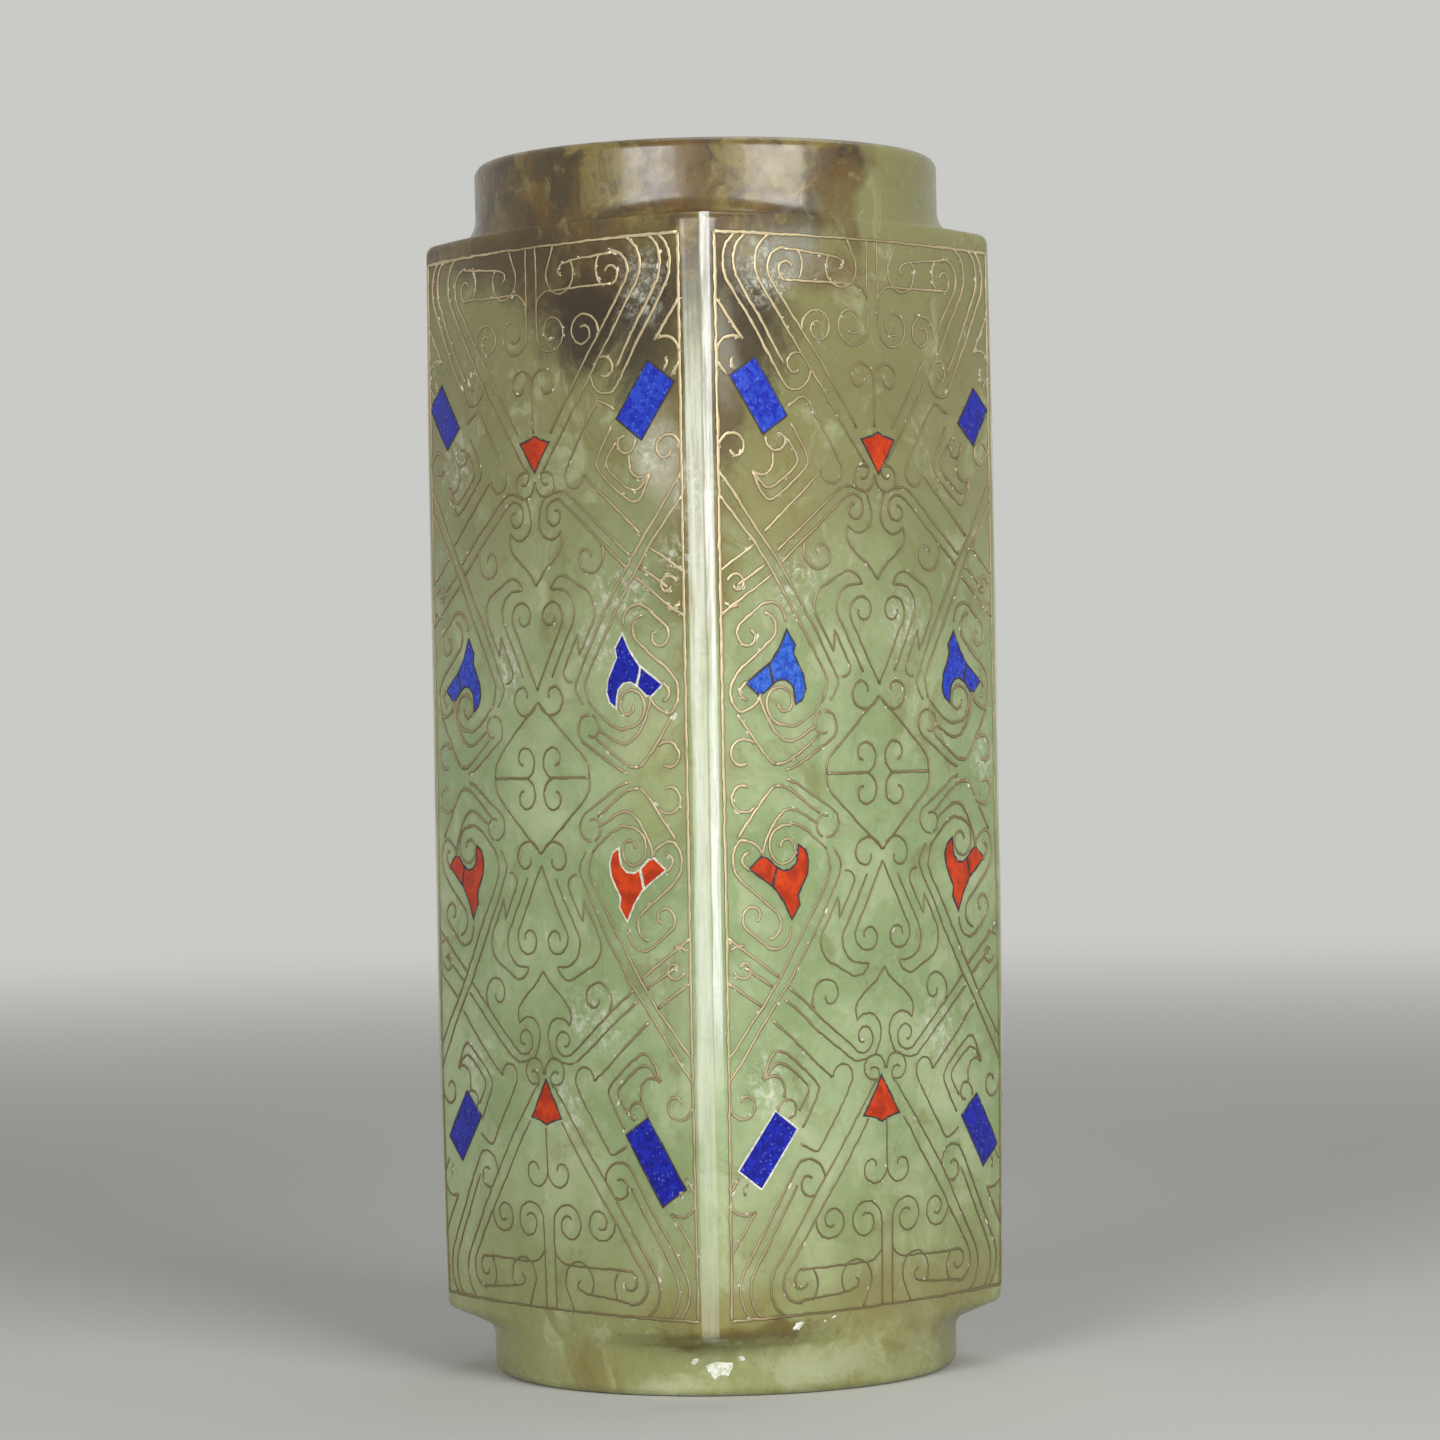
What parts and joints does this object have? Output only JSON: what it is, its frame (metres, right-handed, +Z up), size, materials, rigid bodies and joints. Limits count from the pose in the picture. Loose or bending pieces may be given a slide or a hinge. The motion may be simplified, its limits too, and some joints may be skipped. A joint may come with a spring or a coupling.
{
  "type": "jade cong tube",
  "caption": "Square jade tube with crowned faces, a round through bore and a turned collar at each end, inlaid with wire scrolls and cut stones.",
  "frame": {"origin": "centre of the bore at the foot collar's resting face", "axes": "+Z up along the bore to the rim; the four crowned faces look along +X, +Y, -X and -Y"},
  "size_m": [0.0778, 0.0778, 0.2],
  "materials": {
    "jade": "polished translucent celadon nephrite with brown skin stains",
    "lapis": "polished opaque deep blue stone",
    "coral": "polished opaque orange-red coral",
    "gold": "hammered gold wire, worn and partly tarnished"
  },
  "bodies": {
    "root": {"jade_body": "jade", "lapis_bar_right_1": "lapis", "lapis_bar_right_2": "lapis", "lapis_bar_right_3": "lapis", "lapis_bar_right_4": "lapis", "lapis_bar_back_1": "lapis", "lapis_bar_back_2": "lapis", "lapis_bar_back_3": "lapis", "lapis_bar_back_4": "lapis", "lapis_bar_left_1": "lapis", "lapis_bar_left_2": "lapis", "lapis_bar_left_3": "lapis", "lapis_bar_left_4": "lapis", "lapis_bar_front_1": "lapis", "lapis_bar_front_2": "lapis", "lapis_bar_front_3": "lapis", "lapis_bar_front_4": "lapis", "lapis_fishtail_right_1": "lapis", "lapis_fishtail_right_2": "lapis", "lapis_fishtail_back_1": "lapis", "lapis_fishtail_back_2": "lapis", "lapis_fishtail_left_1": "lapis", "lapis_fishtail_left_2": "lapis", "lapis_fishtail_front_1": "lapis", "lapis_fishtail_front_2": "lapis", "coral_fishtail_right_1": "coral", "coral_fishtail_right_2": "coral", "coral_fishtail_back_1": "coral", "coral_fishtail_back_2": "coral", "coral_fishtail_left_1": "coral", "coral_fishtail_left_2": "coral", "coral_fishtail_front_1": "coral", "coral_fishtail_front_2": "coral", "coral_shield_right_1": "coral", "coral_shield_right_2": "coral", "coral_shield_back_1": "coral", "coral_shield_back_2": "coral", "coral_shield_left_1": "coral", "coral_shield_left_2": "coral", "coral_shield_front_1": "coral", "coral_shield_front_2": "coral", "gold_frame_right": "gold", "gold_frame_back": "gold", "gold_frame_left": "gold", "gold_frame_front": "gold", "gold_lattice_right": "gold", "gold_lattice_back": "gold", "gold_lattice_left": "gold", "gold_lattice_front": "gold", "gold_scrolls_right": "gold", "gold_scrolls_back": "gold", "gold_scrolls_left": "gold", "gold_scrolls_front": "gold"}
  },
  "joints": []
}
